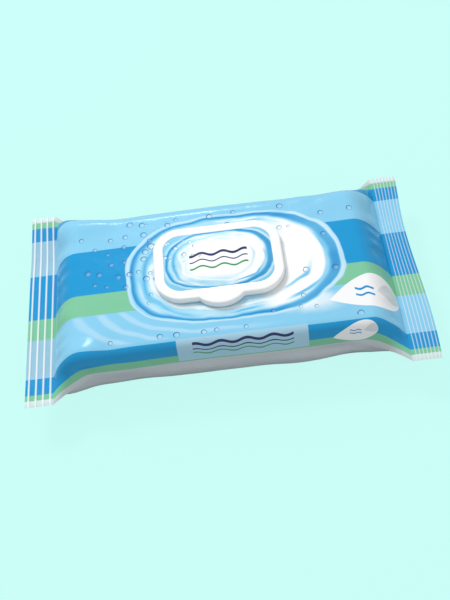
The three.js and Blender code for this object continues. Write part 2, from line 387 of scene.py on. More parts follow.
def rounded_corner(before, corner, after, radius):
    """Points of the arc that rounds a corner between two straight lines."""
    to_before = (before - corner) / np.linalg.norm(before - corner)
    to_after = (after - corner) / np.linalg.norm(after - corner)
    half_angle = math.acos(float(to_before @ to_after)) / 2
    middle = to_before + to_after
    centre = corner + middle / np.linalg.norm(middle) * radius / math.sin(half_angle)
    first = corner + to_before * radius / math.tan(half_angle) - centre
    last = corner + to_after * radius / math.tan(half_angle) - centre
    turn = np.linspace(0, 1, arc_steps + 1)[:, None]
    angle = math.pi - 2 * half_angle
    return centre + (first * np.sin((1 - turn) * angle) + last * np.sin(turn * angle)) / math.sin(angle)


def half_section(inset, edge_radius):
    """Evenly spaced points (outwards, up) from the middle of the top round a side to the underside."""
    lean = (bottom_width - top_width) / 2 / body_height
    across = inset * math.hypot(1, lean)
    middle_top = np.array([0, body_height - inset])
    top = np.array([top_width / 2 - across + inset * lean, body_height - inset])
    bottom = np.array([bottom_width / 2 - across - inset * lean, inset])
    middle_bottom = np.array([0, inset])
    line = np.vstack([
        middle_top,
        rounded_corner(middle_top, top, bottom, edge_radius - inset),
        rounded_corner(top, bottom, middle_bottom, bottom_edge_radius - inset),
        middle_bottom,
    ])
    along = np.concatenate([[0], np.cumsum(np.linalg.norm(np.diff(line, axis=0), axis=1))])
    even = np.linspace(0, along[-1], 2 * quarter_steps + 1)
    return np.column_stack([np.interp(even, along, line[:, 0]), np.interp(even, along, line[:, 1])])


def tube_section(inset):
    """One girth of the full tube: across, up, share from the middle to the crease, and side."""
    front = half_section(inset, front_edge_radius)
    back = half_section(inset, back_edge_radius)
    turn = np.linspace(0, 2, 2 * quarter_steps + 1)
    share = 1 - np.abs(turn - 1)
    side = np.sign(1 - turn)
    across = np.concatenate([-front[:, 0], back[-2:0:-1, 0]])
    up = np.concatenate([front[:, 1], back[-2:0:-1, 1]])
    shares = np.concatenate([share, share[-2:0:-1]])
    sides = np.concatenate([side, side[-2:0:-1]])
    fronts = np.concatenate([-np.ones(2 * quarter_steps + 1), np.ones(2 * quarter_steps - 1)])
    girth = np.concatenate([
        seal_length / 2 * (1 + turn),
        seal_length / 2 * (1 - turn[-2:0:-1]),
    ])
    return {"across": across, "up": up, "share": shares, "side": sides, "front": fronts, "girth": girth}


full_tube = tube_section(0)
print("girth has", len(full_tube["girth"]), "points, seal at", round(seal_height / MM, 1), "mm")

# %% [markdown]
# ## Relief of the film
# Film that is pulled over a soft block is never quite flat. It puffs out at the corners next to
# the seals, has shallow folds that run out of the crimp, and is pressed into ridges in the seals.
# Under the lid it is held flat by the glued base. The relief is one function of the place on
# the film, so the outer face, the inner face and the wipes below share it.

# %% Ridges in the seals
# The first crest's distance from the end of the pack, and the distance from crest to crest.
left_ridges = {
    "first": 2.3 * MM, "pitch": 4.2 * MM, "count": 4, "half_width": 1.0 * MM, "height": 0.6 * MM,
}
right_ridges = {
    "first": 1.4 * MM, "pitch": 2.1 * MM, "count": 7, "half_width": 0.6 * MM, "height": 0.4 * MM,
}


def ridge_height(x):
    """Height of the crimped ridges at a distance along the pack."""
    height = np.zeros_like(x)
    for sign, ridges in ((-1, left_ridges), (1, right_ridges)):
        for k in range(ridges["count"]):
            crest = sign * (pack_length / 2 - ridges["first"] - k * ridges["pitch"])
            near = np.clip(1 - np.abs(x - crest) / ridges["half_width"], 0, 1)
            height += ridges["height"] * near ** 2 * (3 - 2 * near)
    return height


print("ridges", left_ridges["count"], "on the left and", right_ridges["count"], "on the right")

# %% [markdown]
# ## Puffs, dents and folds
# A sculpting brush would raise the puffs as well, but a list of places can be read and changed.
# Each puff is a soft hill on the flat film. Wide waves and a fan of small folds at the seals
# are added, and all of it fades out in the seals, under the lid and on the underside.

# %% Puffs, dents and folds


def soft_step(value, low, high):
    """0 below low, 1 above high and smooth in between."""
    t = np.clip((value - low) / (high - low), 0, 1)
    return t * t * (3 - 2 * t)


# Each puff: place along the pack, distance round the film from the back crease, their two
# reaches, and how far it stands out. All in millimetres.
puffs = [
    (-84, 119, 12, 9, 2.5),
    (-68, 119, 7, 8, -1.9),
    (-70, 24, 6, 4.5, 0.6),
    (56, 20, 8, 4, 0.6),
    (86, 119, 13, 9, 0.2),
    (-95, 12, 8, 10, 2.6),
    (95, 10, 8, 10, 1.6),
    (66, 121, 12, 8, -0.3),
    (-84, 20, 16, 12, 2.2),
    (80, 22, 15, 10, 0.8),
    (-20, 16, 50, 9, 0.7),
    (-64, 18, 14, 8, -0.4),
    (58, 19, 16, 8, -0.35),
    (-30, 129, 20, 7, -0.3),
    (24, 131, 16, 6, 0.3),
    (-60, 134, 12, 7, 0.35),
    (-92, 148, 10, 12, 1.9),
    (91, 148, 8, 12, 0.8),
    (62, 140, 14, 4, -1.5),
    (41, 143, 12, 3.5, 1.1),
    (84, 139, 10, 3, 0.9),
    (-62, 143, 16, 4, -0.9),
    (-20, 141, 22, 3.5, 0.6),
    (42, 152, 15, 6, 1.2),
    (72, 151, 11, 6, -1.2),
    (-52, 152, 14, 6, -0.9),
]
wave_height = 0.16  # mm, of the wide waves all over the film
ripple_height = 0.07  # mm, of the smaller ones on them
fold_reach = 11 * MM
fold_height = 0.4 * MM
relief_starts = 5 * MM  # inside the seal, where the relief has its whole height
lid_reach_x = 40 * MM  # the film is flat this far from the lid's middle
lid_reach_y = 29 * MM
flat_margin = (12 * MM, 9 * MM)  # from there to where the relief has its whole height
underside_from = (96 * MM, 104 * MM)  # round the film from the middle of the top


def film_relief(x, girth, inside):
    """How far the film stands out at a place along the pack and round the tube."""
    a, s = x / MM, girth / MM
    relief = np.zeros_like(a)
    for at_x, at_s, reach_x, reach_s, height in puffs:
        relief += height * np.exp(-((a - at_x) / reach_x) ** 2 - ((s - at_s) / reach_s) ** 2)
    waves = np.sin(a / 17 + 0.8 * np.sin(s / 13)) * np.sin(s / 9.5 + 0.5 * np.sin(a / 23))
    ripples = np.sin(a / 6.1 + s / 7.3) * np.sin(s / 5.2 - a / 11)
    relief += wave_height * waves + ripple_height * ripples
    fan = np.sin(s / 1.9 + 1.3 * np.sin(s / 8.7)) + 0.6 * np.sin(s / 3.3 + 2 + np.sign(a))
    near_seal = np.exp(-((inside - 0.6 * fold_reach) / (0.5 * fold_reach)) ** 2)
    relief += fold_height / MM * near_seal * fan
    relief *= soft_step(inside, 0, relief_starts)
    y = seal_length / 2 - girth
    beside = soft_step(np.abs(x), lid_reach_x, lid_reach_x + flat_margin[0])
    before = soft_step(np.abs(y - lid_middle), lid_reach_y, lid_reach_y + flat_margin[1])
    on_lid = (1 - beside) * (1 - before)
    below = soft_step(np.abs(y), *underside_from)
    return relief * MM * (1 - on_lid) * (1 - below)


print(len(puffs), "puffs and dents, the largest", max(puff[4] for puff in puffs), "mm high")


# %% [markdown]
# ## Lofting the tube
# At each station along the pack the tube has opened by some share of the way from flat to full.
# The film rises faster than its creases draw in, which makes the ears beside the seals.
# The back ends of the seals curl up a little, and the right one sways, as on a pack that has
# been handled.

# %% Lofting the tube
middle_opens_by = 19 * MM  # inside the seal, where the middle of the top is level
crease_opens_by = 24 * MM
left_rising = 2.5  # how much faster than evenly the film rises at first
right_rising = 1.8
drawing_power = 1.5  # and how much faster its creases draw in
curl_reach = 22 * MM
curl_starts = 30 * MM  # behind the pack's middle, from where the seals curl up
curl_fades_from = -4 * MM  # inside the seal
left_lift = 5.5 * MM
right_lift = 3.5 * MM
seal_sway = 1.2 * MM
sway_middle = 8 * MM
sway_ends = 3 * MM  # inside the seal
lean_starts = 20 * MM
crimp_step = 0.3 * MM
shoulder_step = 1.0 * MM
middle_step = 2.6 * MM


def stations():
    """Places along the left half at which the tube gets a ring, as distances inside the seal."""
    crimp = np.arange(-seal_width, 0.0, crimp_step)
    shoulder = np.arange(0.0, crease_opens_by, shoulder_step)
    middle_steps = round((seal_inner - crease_opens_by) / middle_step)
    middle = np.linspace(crease_opens_by, seal_inner, middle_steps + 1)
    return np.concatenate([crimp, shoulder, middle])


def tube_rings(section, inside, rising_power, start, flat_length, flat_thickness):
    """Points of the opening tube on a grid of distance inside the seal and place round the tube."""
    d = inside[:, None]
    share = section["share"][None, :]
    full = middle_opens_by + (crease_opens_by - middle_opens_by) * share ** 3
    closed = 1 - np.clip((d - start) / (full - start), 0, 1)
    risen = 1 - closed ** rising_power[:, None]
    drawn_in = 1 - closed ** drawing_power
    flat_y = section["front"] * share * flat_length / 2
    flat_z = seal_height + section["side"] * flat_thickness / 2
    y = flat_y + (section["across"] - flat_y) * drawn_in
    z = flat_z + (section["up"] - flat_z) * risen
    return y, z


def grid_normals(points):
    """Outward normals of a closed grid of rings."""
    along = np.gradient(points, axis=0)
    wrapped = np.concatenate([points[:, -1:], points, points[:, :1]], axis=1)
    round_tube = (wrapped[:, 2:] - wrapped[:, :-2]) / 2
    normal = np.cross(round_tube, along)
    length = np.linalg.norm(normal, axis=2, keepdims=True)
    return normal / np.maximum(length, 1e-12)


def curl_seals(points, inside):
    """Lifts the back ends of the seals and sways the right one, as they lie on the real pack."""
    x, y = points[:, :, 0], points[:, :, 1]
    near = 1 - soft_step(inside, curl_fades_from, curl_reach)
    lift = np.where(x < 0, left_lift, right_lift)
    points[:, :, 2] += lift * near * soft_step(y, curl_starts, seal_length / 2)
    sway = -seal_sway * np.sin(2 * math.pi * (y + sway_middle) / seal_length)
    lean = seal_sway * soft_step(y, lean_starts, seal_length / 2)
    points[:, :, 0] += np.where(x > 0, sway, lean) * (1 - soft_step(inside, -seal_width, sway_ends))
    return points


def tube_grid(inset, start, first, flat_length, flat_thickness, with_seals):
    """The whole tube from end to end, with its relief."""
    half = stations()
    if not with_seals:
        half = np.concatenate([[first], half[half > first + crimp_step]])
    inside = np.concatenate([half, half[-2::-1]])
    x = np.concatenate([half - seal_inner, seal_inner - half[-2::-1]])
    section = tube_section(inset)
    rising_power = np.where(x > 0, right_rising, left_rising)
    y, z = tube_rings(section, inside, rising_power, start, flat_length, flat_thickness)
    points = np.stack([np.broadcast_to(x[:, None], y.shape), y, z], axis=2)
    girth = np.broadcast_to(section["girth"][None, :], y.shape)
    relief = film_relief(points[:, :, 0], girth, np.broadcast_to(inside[:, None], y.shape))
    points = points + grid_normals(points) * relief[:, :, None]
    if with_seals:
        points[:, :, 2] += ridge_height(points[:, :, 0])
    return curl_seals(points, np.broadcast_to(inside[:, None], y.shape)), section


print("rings on the left half of the pouch", len(stations()))

# %% [markdown]
# ## From a grid to a mesh
# Each square of the grid becomes a face, and a strip of faces shuts either end. The distance
# along the pack and round the tube is kept in a UV map, so that the print can be laid out flat.
# A skin or a bridge tool would join the rings too, but would leave the film's coordinates to
# an unwrap.

# %% From a grid to a mesh


def side_faces(x, starts):
    """The faces between the rings, and the place of each of their corners on the flat film."""
    columns = len(starts)
    ends = np.roll(starts, -1)
    faces, places = [], []
    for i in range(len(x) - 1):
        near, far = i * columns, (i + 1) * columns
        for j in range(columns):
            k = (j + 1) % columns
            s0 = -seal_length / 2 if j == 2 * quarter_steps else starts[j]
            s1 = ends[j]
            faces.append((near + j, far + j, far + k, near + k))
            places.append(((x[i], s0), (x[i + 1], s0), (x[i + 1], s1), (x[i], s1)))
    return faces, places


def end_faces(x, starts):
    """A strip of faces over either end, from the upper layer of film to the lower one."""
    columns = len(starts)
    half = 2 * quarter_steps
    faces, places = [], []
    for i, turn in ((0, -1), (len(x) - 1, 1)):
        for j in range(half // 2):
            for top, low, step in ((j, half - j, 1), ((columns - j) % columns, half + j, -1)):
                corners = [top, top + step, low - step, low]
                corners = [c % columns for c in corners]
                if len(set(corners)) < 4:
                    corners = [corners[0], corners[1], corners[3]]
                if turn * step > 0:
                    corners = corners[::-1]
                faces.append(tuple(i * columns + c for c in corners))
                places.append(((x[i], starts[top]),) * len(corners))
    return faces, places


def tube_mesh(name, points, section, outward=True):
    """A closed mesh from the grid, with the film's own coordinates as a UV map."""
    x = points[:, :, 0].mean(axis=1)
    faces, places = side_faces(x, section["girth"])
    shut, shut_places = end_faces(x, section["girth"])
    faces += shut
    places += shut_places
    if outward:
        faces = [face[::-1] for face in faces]
        places = [place[::-1] for place in places]
    mesh = bpy.data.meshes.new(name)
    mesh.from_pydata(points.reshape(-1, 3).tolist(), [], faces)
    film = mesh.uv_layers.new(name="film")
    flat_places = np.array([uv for place in places for uv in place], np.float32)
    film.data.foreach_set("uv", flat_places.ravel())
    piece = bpy.data.objects.new(name, mesh)
    bpy.context.scene.collection.objects.link(piece)
    return piece


# inset, start, first ring, length and thickness of the flat end, with seals
outer_points, outer_section = tube_grid(0, 0, 0, seal_length, seal_thickness, True)
film_pouch = tube_mesh("printed_pouch", outer_points, outer_section)
print("pouch grid", outer_points.shape[:2], "faces", len(film_pouch.data.polygons))

# %% [markdown]
# ## Helpers for modelling
# An operator acts on all that is selected, so each helper first selects its one piece, and
# edges and faces are then chosen by a rule on their place or direction.
# By hand the same is done with clicks, which a script can't repeat.

# %% Helpers for modelling


def pick(piece):
    """Selects only this piece and makes it the active one."""
    bpy.ops.object.select_all(action="DESELECT")
    piece.select_set(True)
    bpy.context.view_layer.objects.active = piece


def edit(piece, kind="EDGE"):
    """Goes into edit mode on the piece with nothing selected."""
    pick(piece)
    bpy.ops.object.mode_set(mode="EDIT")
    bpy.ops.mesh.select_mode(type=kind)
    bpy.ops.mesh.select_all(action="DESELECT")


def choose(piece, rule, kind="edges"):
    """In edit mode, selects the edges, faces or verts for which the rule is true."""
    shape = bmesh.from_edit_mesh(piece.data)
    for part in getattr(shape, kind):
        part.select_set(bool(rule(part)))
    shape.select_flush_mode()
    bmesh.update_edit_mesh(piece.data)


def done():
    """Back to object mode."""
    bpy.ops.object.mode_set(mode="OBJECT")


def combine(piece, other, operation):
    """A boolean of two closed pieces. The other one is used up."""
    pick(piece)
    modifier = piece.modifiers.new(operation.lower(), "BOOLEAN")
    modifier.operation = operation
    modifier.solver = "EXACT"
    modifier.object = other
    bpy.ops.object.modifier_apply(modifier=modifier.name)
    bpy.data.objects.remove(other)
    return piece


def settle(piece):
    """Moves the piece's place into its mesh, so that its object sits at the origin."""
    pick(piece)
    bpy.ops.object.transform_apply(location=True, rotation=True, scale=True)
    return piece


# %% [markdown]
# ## Plates with rounded corners
# The lid, its base, the label, the hole and the rim are all plates with rounded corners.
# Each starts as a plane. Its corners are bevelled, its long sides are subdivided and pushed out
# into a slight bow, and the outline is filled and extruded upwards.

# %% Make a plate
corner_segments = 10
side_cuts = 11
bow_sharpness = 8


def bow_sides(piece, half_width, half_depth, bow):
    """Pushes each side out by the bow at its middle and by nothing at its corners."""
    for point in piece.data.vertices:
        u, v = point.co.x / half_width, point.co.y / half_depth
        point.co.x += math.copysign(bow, u) * (1 - min(v * v, 1)) * abs(u) ** bow_sharpness
        point.co.y += math.copysign(bow, v) * (1 - min(u * u, 1)) * abs(v) ** bow_sharpness


def plate(name, width, depth, corner, low, high, bow=0.0):
    """A plate with rounded corners between two heights, its middle on the lid's."""
    bpy.ops.object.select_all(action="DESELECT")
    bpy.ops.mesh.primitive_plane_add(size=1, location=(0, 0, 0))
    piece = bpy.context.active_object
    piece.name = name
    edit(piece, "VERT")
    bpy.ops.mesh.select_all(action="SELECT")
    bpy.ops.transform.resize(value=(width, depth, 1))
    bpy.ops.mesh.bevel(offset=corner, segments=corner_segments, affect="VERTICES", profile=0.5)
    bpy.ops.mesh.select_all(action="SELECT")
    bpy.ops.mesh.delete(type="ONLY_FACE")
    longest = min(width, depth) - 2 * corner
    choose(piece, lambda edge: edge.calc_length() > 0.9 * longest)
    bpy.ops.mesh.subdivide(number_cuts=side_cuts)
    done()
    bow_sides(piece, width / 2, depth / 2, bow)
    edit(piece)
    bpy.ops.mesh.select_all(action="SELECT")
    bpy.ops.mesh.edge_face_add()
    bpy.ops.mesh.normals_make_consistent(inside=False)
    bpy.ops.mesh.extrude_region_move(TRANSFORM_OT_translate={"value": (0, 0, high - low)})
    bpy.ops.mesh.select_all(action="SELECT")
    bpy.ops.mesh.normals_make_consistent(inside=False)
    done()
    piece.location = (0, lid_middle, low)
    return settle(piece)


# %% [markdown]
# ## The inside of the film and the die-cut hole
# The film has a thickness, so the tube gets an inner face that runs a little inside the outer
# one, and a hole is cut through the top under the lid. A Solidify modifier would make the inner
# face too, but it crosses itself where the film is folded flat, so the inner face is a second
# loft that starts between the two layers of the seal. A plate with round ends is then taken
# out of both with a boolean, which also closes the edge of the film round the hole.

# %% Cut the hole and shut the film
hole_length = 46 * MM
hole_width = 20 * MM
hole_corner = 9.5 * MM
film_parts_at = 1 * MM  # inside the seal, where the two layers part
crease_margin = 2 * MM
parting_height = 0.2 * MM
cutter_reach = 1 * MM
closest_points = 0.01 * MM
smooth_film_angle = math.radians(50)


def line_the_pouch(pouch):
    """Adds the film's inner face, pointing inwards, to the outer one."""
    points, section = tube_grid(
        film_thickness, film_parts_at, film_parts_at,
        seal_length - 2 * crease_margin, parting_height, False,
    )
    lining = tube_mesh("pouch_lining", points, section, outward=False)
    pick(pouch)
    lining.select_set(True)
    bpy.ops.object.join()


def join_close_points(piece, reach):
    """Makes one of the points that lie closer together than the reach."""
    pick(piece)
    weld = piece.modifiers.new("weld", "WELD")
    weld.merge_threshold = reach
    bpy.ops.object.modifier_apply(modifier=weld.name)


line_the_pouch(film_pouch)
hole = plate(
    "hole", hole_length, hole_width, hole_corner, body_height - cutter_reach, body_height + cutter_reach,
)
combine(film_pouch, hole, "DIFFERENCE")
join_close_points(film_pouch, closest_points)
bpy.ops.object.shade_smooth_by_angle(angle=smooth_film_angle)
print("film faces", len(film_pouch.data.polygons))

# %% [markdown]
# ## The wipes
# Inside lies a block of folded moist wipes, and the next wipe stands up a little through the hole.
# The block is the same loft a little further in, so that it fills the film, and its top has
# soft folds where the last wipe was pulled away. It is hidden until the lid is opened.

# %% Fold the wipes
wipes_inset = 1.0 * MM
wipes_start = 3 * MM
wipes_end = 10.5 * MM  # inside the seal
wipes_margin = 8 * MM
tip_height = 2.6 * MM
stack_top = (40.5 * MM, 41.6 * MM)  # heights between which the folds fade in
fine_reach = 24 * MM  # the rings lie closer together this far from the middle
fine_step = 0.8 * MM


def wipe_folds(points):
    """Raises soft folds and the next wipe's tip on the top of the block, under the hole."""
    x, y = points[:, :, 0] / MM, (points[:, :, 1] - lid_middle) / MM
    on_top = soft_step(points[:, :, 2], *stack_top)
    in_hole = (1 - soft_step(np.abs(x), 15, 21)) * (1 - soft_step(np.abs(y), 5.5, 8.5))
    crest = y - 1.2 - 1.6 * np.sin(x / 7.0)
    ridge = np.exp(-(crest / 1.7) ** 2) * (0.65 + 0.35 * np.cos(x / 6.5 + 0.6))
    pleats = 0.5 + 0.5 * np.sin(1.1 * x + 0.9 * y + 1.5 * np.sin(y / 3.1))
    lift = tip_height * in_hole * (0.78 * ridge + 0.16 * pleats)
    points[:, :, 2] += on_top * lift
    return points


def stack_wipes():
    """The block of wipes as a closed loft with its folds."""
    points, section = tube_grid(
        wipes_inset, wipes_start, wipes_end,
        seal_length - 2 * wipes_margin, parting_height, False,
    )
    fine = np.arange(-fine_reach, fine_reach, fine_step)
    along = points[:, 0, 0]
    coarse = along[np.abs(along) > fine_reach + 1 * MM]
    places = np.sort(np.concatenate([coarse, fine]))
    dense = np.empty((len(places), points.shape[1], 3))
    for j in range(points.shape[1]):
        for axis in range(3):
            dense[:, j, axis] = np.interp(places, along, points[:, j, axis])
    return tube_mesh("folded_wipes", wipe_folds(dense), section)


folded_wipes = stack_wipes()
pick(folded_wipes)
bpy.ops.object.shade_smooth()
wipes_top = max(point.co.z for point in folded_wipes.data.vertices)
print("wipes' top at", round(wipes_top / MM, 2), "mm")

# %% [markdown]
# ## The flip-top lid
# The real lid is one moulding: a plate with a skirt, a thumb tab at the front, a recess for
# the label, and on its underside a sealing ring and a small catch bead.
# It is built as it would be cut from solid: a bowed plate and a disc for the tab are joined,
# the top edge is rounded with a bevel, and hollows are cut from below.

# %% Sizes of the lid
lid_width = 76 * MM
lid_depth = 52.6 * MM
lid_corner = 15 * MM
lid_bow = 0.8 * MM
lid_plate = 1.2 * MM
lid_wall = 1.2 * MM
lid_edge_radius = 1.15 * MM
lid_bottom = lid_low.z + 0.35 * MM  # the skirt ends over a shadow gap
lid_top = lid_high.z
plate_underside = lid_top - lid_plate
tab_width = 26 * MM
tab_reach = 5.5 * MM
tab_sides = 96  # of the disc that the tab is part of
aperture_length = 56 * MM
aperture_width = 28 * MM
aperture_corner = 10 * MM
rim_wall = 2 * MM
ring_clearance = 0.4 * MM
ring_wall = 1 * MM
ring_bottom = body_height + 1.6 * MM
front_face = lid_middle - lid_depth / 2 - lid_bow
back_face = lid_middle + lid_depth / 2 + lid_bow
hinge_length = 30 * MM
notch_clearance = 0.5 * MM
land_height = 2.2 * MM
catch_length = 24 * MM
bead_low = body_height + 1.2 * MM
bead_width = 1.0 * MM
bead_height = 0.6 * MM
label_inset = 5.8 * MM
label_recess = 0.3 * MM
deep_under = body_height - 2 * cutter_reach
level_tolerance = 0.01 * MM


def lid_shape(name, inset, low, high):
    """The lid's bowed outline, set in by a distance, as a plate between two heights."""
    return plate(
        name, lid_width - 2 * inset, lid_depth - 2 * inset, lid_corner - inset, low, high, lid_bow,
    )


def tab_shape(name, inset, low, high):
    """The disc whose front edge is the thumb tab, as a plate between two heights."""
    radius = (tab_width ** 2 / 4 + tab_reach ** 2) / (2 * tab_reach)
    bpy.ops.object.select_all(action="DESELECT")
    bpy.ops.mesh.primitive_cylinder_add(
        vertices=tab_sides, radius=radius - inset, depth=high - low,
        location=(0, front_face - tab_reach + radius, (low + high) / 2),
    )
    disc = bpy.context.active_object
    disc.name = name
    return settle(disc)


def bar(name, width, depth, low, high, middle):
    """A straight bar, its middle at a place from front to back."""
    bpy.ops.object.select_all(action="DESELECT")
    bpy.ops.mesh.primitive_cube_add(size=1, location=(0, middle, (low + high) / 2))
    piece = bpy.context.active_object
    piece.name = name
    piece.scale = (width, depth, high - low)
    return settle(piece)


def rim_shape(name, grow, low, high):
    """The outline of the base's aperture, grown by a distance, as a plate between two heights."""
    return plate(
        name, aperture_length + 2 * grow, aperture_width + 2 * grow, aperture_corner + grow, low, high,
    )


def merge_flat_faces(piece, height):
    """Makes one face of all that look up at a height."""

    def is_flat(face):
        """Whether a face looks straight up at the height."""
        level = abs(face.calc_center_median().z - height) < level_tolerance
        return level and face.normal.z > 0.99

    edit(piece, "FACE")
    choose(piece, is_flat, "faces")
    bpy.ops.mesh.dissolve_faces()
    done()


def round_edge(piece, height, radius, segments):
    """Rounds the outline of the upper face at a height with a bevel."""

    def is_outline(edge):
        """Whether an edge lies between the upper face and a side."""
        level = all(abs(point.co.z - height) < level_tolerance for point in edge.verts)
        ups = sorted(face.normal.z for face in edge.link_faces)
        return level and len(ups) == 2 and ups[0] < 0.5 and ups[1] > 0.9

    edit(piece)
    choose(piece, is_outline)
    bpy.ops.mesh.bevel(
        offset=radius, segments=segments, profile=0.5, affect="EDGES", clamp_overlap=False,
    )
    done()


lid_size = (lid_width + 2 * lid_bow, lid_depth + 2 * lid_bow + tab_reach, lid_top - lid_bottom)
print("lid", " x ".join(str(round(side / MM, 2)) for side in lid_size), "mm")

# %% [markdown]
# ## Mould the lid
# Each cut and each addition is a boolean between closed plates, so the lid stays one closed
# piece that could be printed or moulded. Loops drawn in edit mode would give the same form,
# but each change of size would then be a change of many points.

# %% Mould the lid


def lid_outside():
    """The solid block of the lid with its tab and rounded top edge."""
    block = lid_shape("moulded_lid", 0, lid_bottom, lid_top)
    combine(block, tab_shape("tab", 0, lid_bottom, lid_top), "UNION")
    merge_flat_faces(block, lid_top)
    round_edge(block, lid_top, lid_edge_radius, 5)
    return block


def hollow_lid(lid):
    """Cuts the space under the plate, the space in the tab, the notch at the hinge and the recess."""
    deep = lid_bottom - cutter_reach
    combine(lid, lid_shape("pocket", lid_wall, deep, plate_underside), "DIFFERENCE")
    tab_space = tab_shape("tab_space", lid_wall, deep, plate_underside)
    wall_to_keep = lid_shape("wall_to_keep", 0, deep - cutter_reach, lid_top + cutter_reach)
    combine(tab_space, wall_to_keep, "DIFFERENCE")
    combine(lid, tab_space, "DIFFERENCE")
    notch_top = body_height + land_height + notch_clearance
    notch = bar("notch", hinge_length + 2 * notch_clearance, 4 * lid_wall, deep, notch_top, back_face)
    combine(lid, notch, "DIFFERENCE")
    recess = lid_shape("recess", label_inset, lid_top - label_recess, lid_top + cutter_reach)
    combine(lid, recess, "DIFFERENCE")


def fit_lid_inside(lid):
    """Adds the sealing ring under the plate and the catch bead on the front wall."""
    inner = rim_wall + ring_clearance
    ring = rim_shape("ring", inner + ring_wall, ring_bottom, plate_underside + lid_plate / 4)
    combine(ring, rim_shape("in_ring", inner, deep_under, lid_top), "DIFFERENCE")
    combine(lid, ring, "UNION")
    bead_middle = front_face + lid_wall - bead_width / 10
    bead = bar("bead", catch_length, bead_width, bead_low, bead_low + bead_height, bead_middle)
    combine(lid, bead, "UNION")


moulded_lid = lid_outside()
hollow_lid(moulded_lid)
fit_lid_inside(moulded_lid)
print("lid faces", len(moulded_lid.data.polygons))

# %% [markdown]
# ## Ease the sharp edges
# A real moulding has no knife-sharp edge. A narrow bevel catches a thin line of light on every
# edge, and that line tells the eye how big the lid is.

# %% Ease the sharp edges
eased_width = 0.12 * MM
eased_from = math.radians(40)  # edges sharper than this are eased
smooth_angle = math.radians(32)


def ease_edges(piece):
    """Takes the sharpness off a moulding's edges, as a mould does, and smooths its faces."""
    join_close_points(piece, closest_points / 2)
    easing = piece.modifiers.new("easing", "BEVEL")
    easing.width = eased_width
    easing.segments = 2
    easing.limit_method = "ANGLE"
    easing.angle_limit = eased_from
    easing.miter_outer = "MITER_ARC"
    bpy.ops.object.modifier_apply(modifier=easing.name)
    bpy.ops.object.shade_smooth_by_angle(angle=smooth_angle)


ease_edges(moulded_lid)
print("lid faces with eased edges", len(moulded_lid.data.polygons))

# %% [markdown]
# ## The lid's base
# The base is a thin flange glued to the film. A rim stands round its aperture, which the lid's
# ring closes on, a catch bar stands at the front and a land for the hinge at the back.

# %% Mould the base
flange_thickness = 1 * MM
flange_inset = 2.2 * MM
flange_back_inset = 2.6 * MM
rim_height = 3.2 * MM
rim_edge_radius = 0.5 * MM
catch_wall = 1 * MM
catch_height = 3 * MM
catch_front = front_face + flange_inset
lip_reach = 0.45 * MM
lip_height = 0.8 * MM
lip_margin = 0.2 * MM  # the lip is set in from the catch by this at its ends and its back
lip_drop = 0.02 * MM  # under the catch's top, so that the two don't share a plane


def flange():
    """The flange, cut off straight at the back, where the lid's skirt swings down."""
    base = lid_shape("moulded_base", flange_inset, body_height, body_height + flange_thickness)
    cut_middle = back_face - flange_back_inset + lid_depth / 2
    behind = bar("behind", 2 * lid_width, lid_depth, deep_under, lid_top, cut_middle)
    return combine(base, behind, "DIFFERENCE")


def catch_bars():
    """The catch that stands at the front, and its lip, as one bar each."""
    top = body_height + catch_height
    catch_middle = catch_front + catch_wall / 2
    catch = bar("catch", catch_length, catch_wall, body_height, top, catch_middle)
    lip_middle = catch_front + (catch_wall - lip_reach) / 2 - lip_margin / 2
    lip = bar(
        "lip", catch_length - 2 * lip_margin, catch_wall + lip_reach - lip_margin,
        top - lip_height, top - lip_drop, lip_middle,
    )
    return catch, lip


def mould_base():
    """The flange with its rim, land and catch, and the aperture through it."""
    base = flange()
    rim_top = body_height + rim_height
    rim = rim_shape("rim", rim_wall, body_height + flange_thickness / 2, rim_top)
    round_edge(rim, rim_top, rim_edge_radius, 3)
    combine(base, rim, "UNION")
    depth = flange_back_inset + cutter_reach
    land_top = body_height + land_height
    land = bar("land", hinge_length, depth, body_height, land_top, back_face - depth / 2)
    combine(base, land, "UNION")
    for part in catch_bars():
        combine(base, part, "UNION")
    return combine(base, rim_shape("aperture", 0, deep_under, lid_top), "DIFFERENCE")


moulded_base = mould_base()
ease_edges(moulded_base)
print("base faces", len(moulded_base.data.polygons))

# %% [markdown]
# ## The label
# The label is a thin printed plate in the lid's recess, a hair smaller than it, so that a fine
# line shows all round. A change of colour on the lid would be quicker, but would have no edge.

# %% Label
label_thickness = 0.2 * MM
label_gap = 0.05 * MM
label_edge_radius = 0.08 * MM
label_bottom = lid_top - label_recess
label_top = label_bottom + label_thickness
lid_label = lid_shape("printed_label", label_inset + label_gap, label_bottom, label_top)
round_edge(lid_label, label_top, label_edge_radius, 2)
pick(lid_label)
bpy.ops.object.shade_smooth_by_angle(angle=smooth_angle)
print("label faces", len(lid_label.data.polygons))

# %% [markdown]
# ## The living hinge
# The hinge is the thin web that joins base and lid: a short strip spun half way round the
# hinge's axis in small steps. A screw modifier would do the same.

# %% Living hinge
hinge_web = 0.4 * MM
hinge_inner = 0.5 * MM
hinge_leg = 0.3 * MM
axis_rise = 2.5 * MM  # from the pouch's top to the axis
hinge_steps = 16
hinge_axis = Vector((0, back_face + hinge_leg, body_height + axis_rise))


